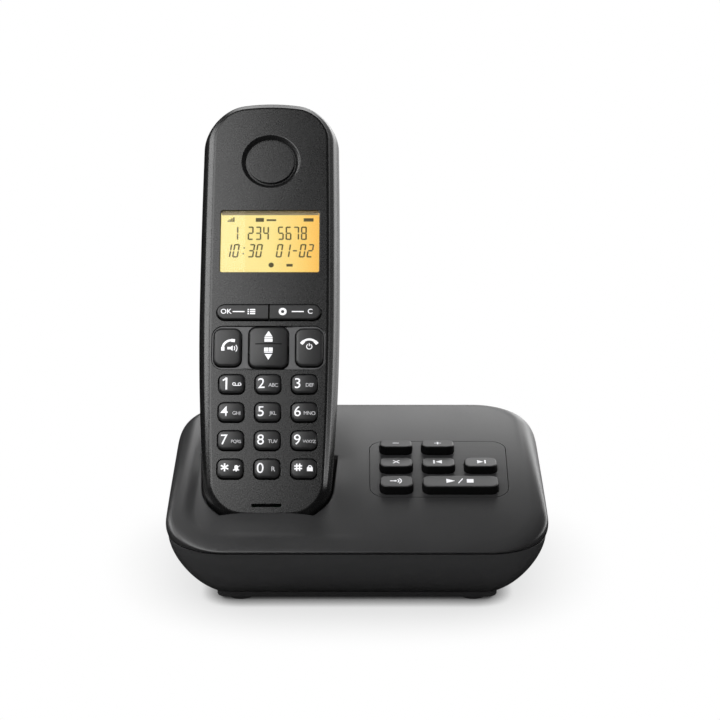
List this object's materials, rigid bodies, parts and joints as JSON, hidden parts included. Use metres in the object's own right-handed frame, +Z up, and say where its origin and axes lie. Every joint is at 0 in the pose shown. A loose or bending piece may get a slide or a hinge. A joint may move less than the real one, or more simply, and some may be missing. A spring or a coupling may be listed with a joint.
{
  "type": "cordless phone",
  "caption": "Cordless telephone handset leaning in the tilted cradle of a low crowned answering machine base with a key panel beside it.",
  "frame": {"origin": "on the table, in the middle of the footprint of the base with its handset", "axes": "+Z up, +X to the right seen from the front, -Y towards the user"},
  "size_m": [0.1306, 0.133, 0.1487],
  "materials": {
    "base_cover": "fine spark texture, charcoal",
    "base_hull": "fine spark texture, near black",
    "rubber": "matt",
    "steel": "zinc plated",
    "circuit_board": "solder resist",
    "speaker": "plain",
    "contacts": "plated",
    "key_mat": "silicone",
    "socket": "smooth",
    "handset_case": "fine spark texture, charcoal",
    "window": "clear",
    "display": "lit amber",
    "light_guide": "clear",
    "call_plate": "satin",
    "cell_jacket": "printed film, plain",
    "handset_keys": "satin",
    "base_keys": "satin"
  },
  "bodies": {
    "base": {"base_top_cover": "base_cover", "base_bottom_shell": "base_hull", "rubber_feet": "rubber", "base_screws": "steel", "base_circuit_board": "circuit_board", "base_loudspeaker": "speaker", "charging_contacts": "contacts", "button_panel": "base_cover", "base_key_mat": "key_mat", "line_socket": "socket", "power_socket": "socket"},
    "handset": {"handset_front_shell": "handset_case", "handset_rear_shell": "handset_case", "display_window": "window", "lcd_panel": "display", "backlight_plate": "light_guide", "handset_circuit_board": "circuit_board", "keypad_mat": "key_mat", "call_key_plate": "call_plate", "earpiece_disc": "handset_case", "earpiece_receiver": "speaker", "ringer_loudspeaker": "speaker", "battery_cells": "cell_jacket", "battery_contacts": "contacts", "handset_charge_pads": "contacts", "microphone": "speaker"},
    "battery_door": {"battery_door": "handset_case"},
    "nav_key": {"nav_key": "handset_keys"},
    "volume_down_key": {"volume_down_key": "base_keys"},
    "volume_up_key": {"volume_up_key": "base_keys"},
    "delete_key": {"delete_key": "base_keys"},
    "skip_back_key": {"skip_back_key": "base_keys"},
    "skip_forward_key": {"skip_forward_key": "base_keys"},
    "paging_key": {"paging_key": "base_keys"},
    "play_stop_key": {"play_stop_key": "base_keys"},
    "softkey_left": {"softkey_left": "handset_keys"},
    "softkey_right": {"softkey_right": "handset_keys"},
    "talk_key": {"talk_key": "handset_keys"},
    "end_key": {"end_key": "handset_keys"},
    "key_star": {"key_star": "handset_keys"},
    "key_0": {"key_0": "handset_keys"},
    "key_hash": {"key_hash": "handset_keys"},
    "key_7": {"key_7": "handset_keys"},
    "key_8": {"key_8": "handset_keys"},
    "key_9": {"key_9": "handset_keys"},
    "key_4": {"key_4": "handset_keys"},
    "key_5": {"key_5": "handset_keys"},
    "key_6": {"key_6": "handset_keys"},
    "key_1": {"key_1": "handset_keys"},
    "key_2": {"key_2": "handset_keys"},
    "key_3": {"key_3": "handset_keys"}
  },
  "joints": [
    {"name": "handset_lift", "type": "slide", "parent": "base", "child": "handset", "axis": [0, 0.6561, 0.7547], "range_m": [0, 0.12]},
    {"name": "battery_door_off", "type": "slide", "parent": "handset", "child": "battery_door", "axis": [0, 0.7547, -0.6561], "range_m": [0, 0.01]},
    {"name": "softkey_left_press", "type": "slide", "parent": "handset", "child": "softkey_left", "axis": [0, 0.7547, -0.6561], "range_m": [0, 0.0007], "stiffness_N_per_m": 1200},
    {"name": "softkey_right_press", "type": "slide", "parent": "handset", "child": "softkey_right", "axis": [0, 0.7547, -0.6561], "range_m": [0, 0.0007], "stiffness_N_per_m": 1200},
    {"name": "talk_key_press", "type": "slide", "parent": "handset", "child": "talk_key", "axis": [0, 0.7547, -0.6561], "range_m": [0, 0.0007], "stiffness_N_per_m": 1200},
    {"name": "end_key_press", "type": "slide", "parent": "handset", "child": "end_key", "axis": [0, 0.7547, -0.6561], "range_m": [0, 0.0007], "stiffness_N_per_m": 1200},
    {"name": "key_star_press", "type": "slide", "parent": "handset", "child": "key_star", "axis": [0, 0.7547, -0.6561], "range_m": [0, 0.0007], "stiffness_N_per_m": 1200},
    {"name": "key_0_press", "type": "slide", "parent": "handset", "child": "key_0", "axis": [0, 0.7547, -0.6561], "range_m": [0, 0.0007], "stiffness_N_per_m": 1200},
    {"name": "key_hash_press", "type": "slide", "parent": "handset", "child": "key_hash", "axis": [0, 0.7547, -0.6561], "range_m": [0, 0.0007], "stiffness_N_per_m": 1200},
    {"name": "key_7_press", "type": "slide", "parent": "handset", "child": "key_7", "axis": [0, 0.7547, -0.6561], "range_m": [0, 0.0007], "stiffness_N_per_m": 1200},
    {"name": "key_8_press", "type": "slide", "parent": "handset", "child": "key_8", "axis": [0, 0.7547, -0.6561], "range_m": [0, 0.0007], "stiffness_N_per_m": 1200},
    {"name": "key_9_press", "type": "slide", "parent": "handset", "child": "key_9", "axis": [0, 0.7547, -0.6561], "range_m": [0, 0.0007], "stiffness_N_per_m": 1200},
    {"name": "key_4_press", "type": "slide", "parent": "handset", "child": "key_4", "axis": [0, 0.7547, -0.6561], "range_m": [0, 0.0007], "stiffness_N_per_m": 1200},
    {"name": "key_5_press", "type": "slide", "parent": "handset", "child": "key_5", "axis": [0, 0.7547, -0.6561], "range_m": [0, 0.0007], "stiffness_N_per_m": 1200},
    {"name": "key_6_press", "type": "slide", "parent": "handset", "child": "key_6", "axis": [0, 0.7547, -0.6561], "range_m": [0, 0.0007], "stiffness_N_per_m": 1200},
    {"name": "key_1_press", "type": "slide", "parent": "handset", "child": "key_1", "axis": [0, 0.7547, -0.6561], "range_m": [0, 0.0007], "stiffness_N_per_m": 1200},
    {"name": "key_2_press", "type": "slide", "parent": "handset", "child": "key_2", "axis": [0, 0.7547, -0.6561], "range_m": [0, 0.0007], "stiffness_N_per_m": 1200},
    {"name": "key_3_press", "type": "slide", "parent": "handset", "child": "key_3", "axis": [0, 0.7547, -0.6561], "range_m": [0, 0.0007], "stiffness_N_per_m": 1200},
    {"name": "nav_key_rock", "type": "hinge", "parent": "handset", "child": "nav_key", "pos_m": [-0.03085, -0.00634, 0.07622], "axis": [1, 0, 0], "range_deg": [-4, 4], "stiffness_Nm_per_rad": 0.09},
    {"name": "volume_down_key_press", "type": "slide", "parent": "base", "child": "volume_down_key", "axis": [0, 0.1888, -0.982], "range_m": [0, 0.001], "stiffness_N_per_m": 1500},
    {"name": "volume_up_key_press", "type": "slide", "parent": "base", "child": "volume_up_key", "axis": [0, 0.1888, -0.982], "range_m": [0, 0.001], "stiffness_N_per_m": 1500},
    {"name": "delete_key_press", "type": "slide", "parent": "base", "child": "delete_key", "axis": [0, 0.1888, -0.982], "range_m": [0, 0.001], "stiffness_N_per_m": 1500},
    {"name": "skip_back_key_press", "type": "slide", "parent": "base", "child": "skip_back_key", "axis": [0, 0.1888, -0.982], "range_m": [0, 0.001], "stiffness_N_per_m": 1500},
    {"name": "skip_forward_key_press", "type": "slide", "parent": "base", "child": "skip_forward_key", "axis": [0, 0.1888, -0.982], "range_m": [0, 0.001], "stiffness_N_per_m": 1500},
    {"name": "paging_key_press", "type": "slide", "parent": "base", "child": "paging_key", "axis": [0, 0.1888, -0.982], "range_m": [0, 0.001], "stiffness_N_per_m": 1500},
    {"name": "play_stop_key_press", "type": "slide", "parent": "base", "child": "play_stop_key", "axis": [0, 0.1888, -0.982], "range_m": [0, 0.001], "stiffness_N_per_m": 1500}
  ]
}
